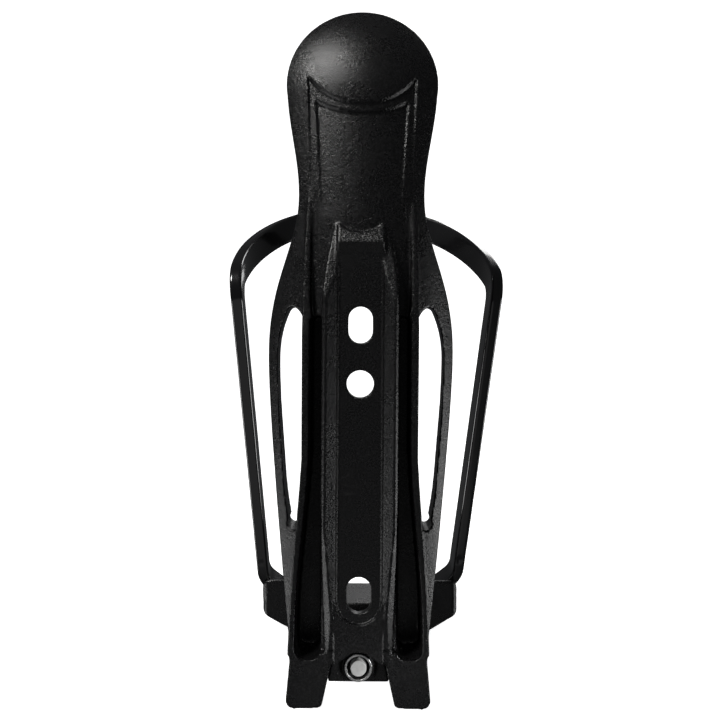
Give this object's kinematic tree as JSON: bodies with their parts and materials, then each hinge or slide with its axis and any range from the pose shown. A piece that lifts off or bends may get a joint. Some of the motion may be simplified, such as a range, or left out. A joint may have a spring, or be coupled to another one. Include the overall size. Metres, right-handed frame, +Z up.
{
  "type": "water bottle cage",
  "caption": "Adjustable-grip bicycle bottle cage: moulded backbone with a domed head, flat-bar hoop and tilting base tray set by a screw.",
  "frame": {"origin": "midway between the two frame-bolt slots, on the rear face of the bolting panel", "axes": "+Z up along the frame tube, +Y from the frame tube towards the bottle, +X to the right seen from the frame side"},
  "size_m": [0.0813, 0.093, 0.1748],
  "materials": {
    "moulded_plastic": "fine moulded grain, matte black",
    "black_hoop_metal": "glossy black coat",
    "plated_steel": "bright plated",
    "zinc_plated_steel": "bright zinc plated",
    "dark_steel": "glossy blackened"
  },
  "bodies": {
    "root": {"backbone": "moulded_plastic", "pivot_pin": "plated_steel"},
    "base": {"base_tray": "moulded_plastic", "hoop": "black_hoop_metal", "threaded_collar": "plated_steel"},
    "screw": {"adjusting_screw": "zinc_plated_steel", "screw_washer": "plated_steel", "retaining_clip": "dark_steel"}
  },
  "joints": [
    {"name": "base_tilt", "type": "hinge", "parent": "root", "child": "base", "pos_m": [0, 0.006, -0.044], "axis": [1, 0, 0], "range_deg": [-2, 3]},
    {"name": "screw_turn", "type": "hinge", "parent": "root", "child": "screw", "pos_m": [0, 0.0105, -0.0505], "axis": [0, 1, 0], "range_deg": [-180, 120]}
  ],
  "couplings": [
    {"joint": "screw_turn", "follows": "base_tilt", "ratio": -58.34}
  ]
}
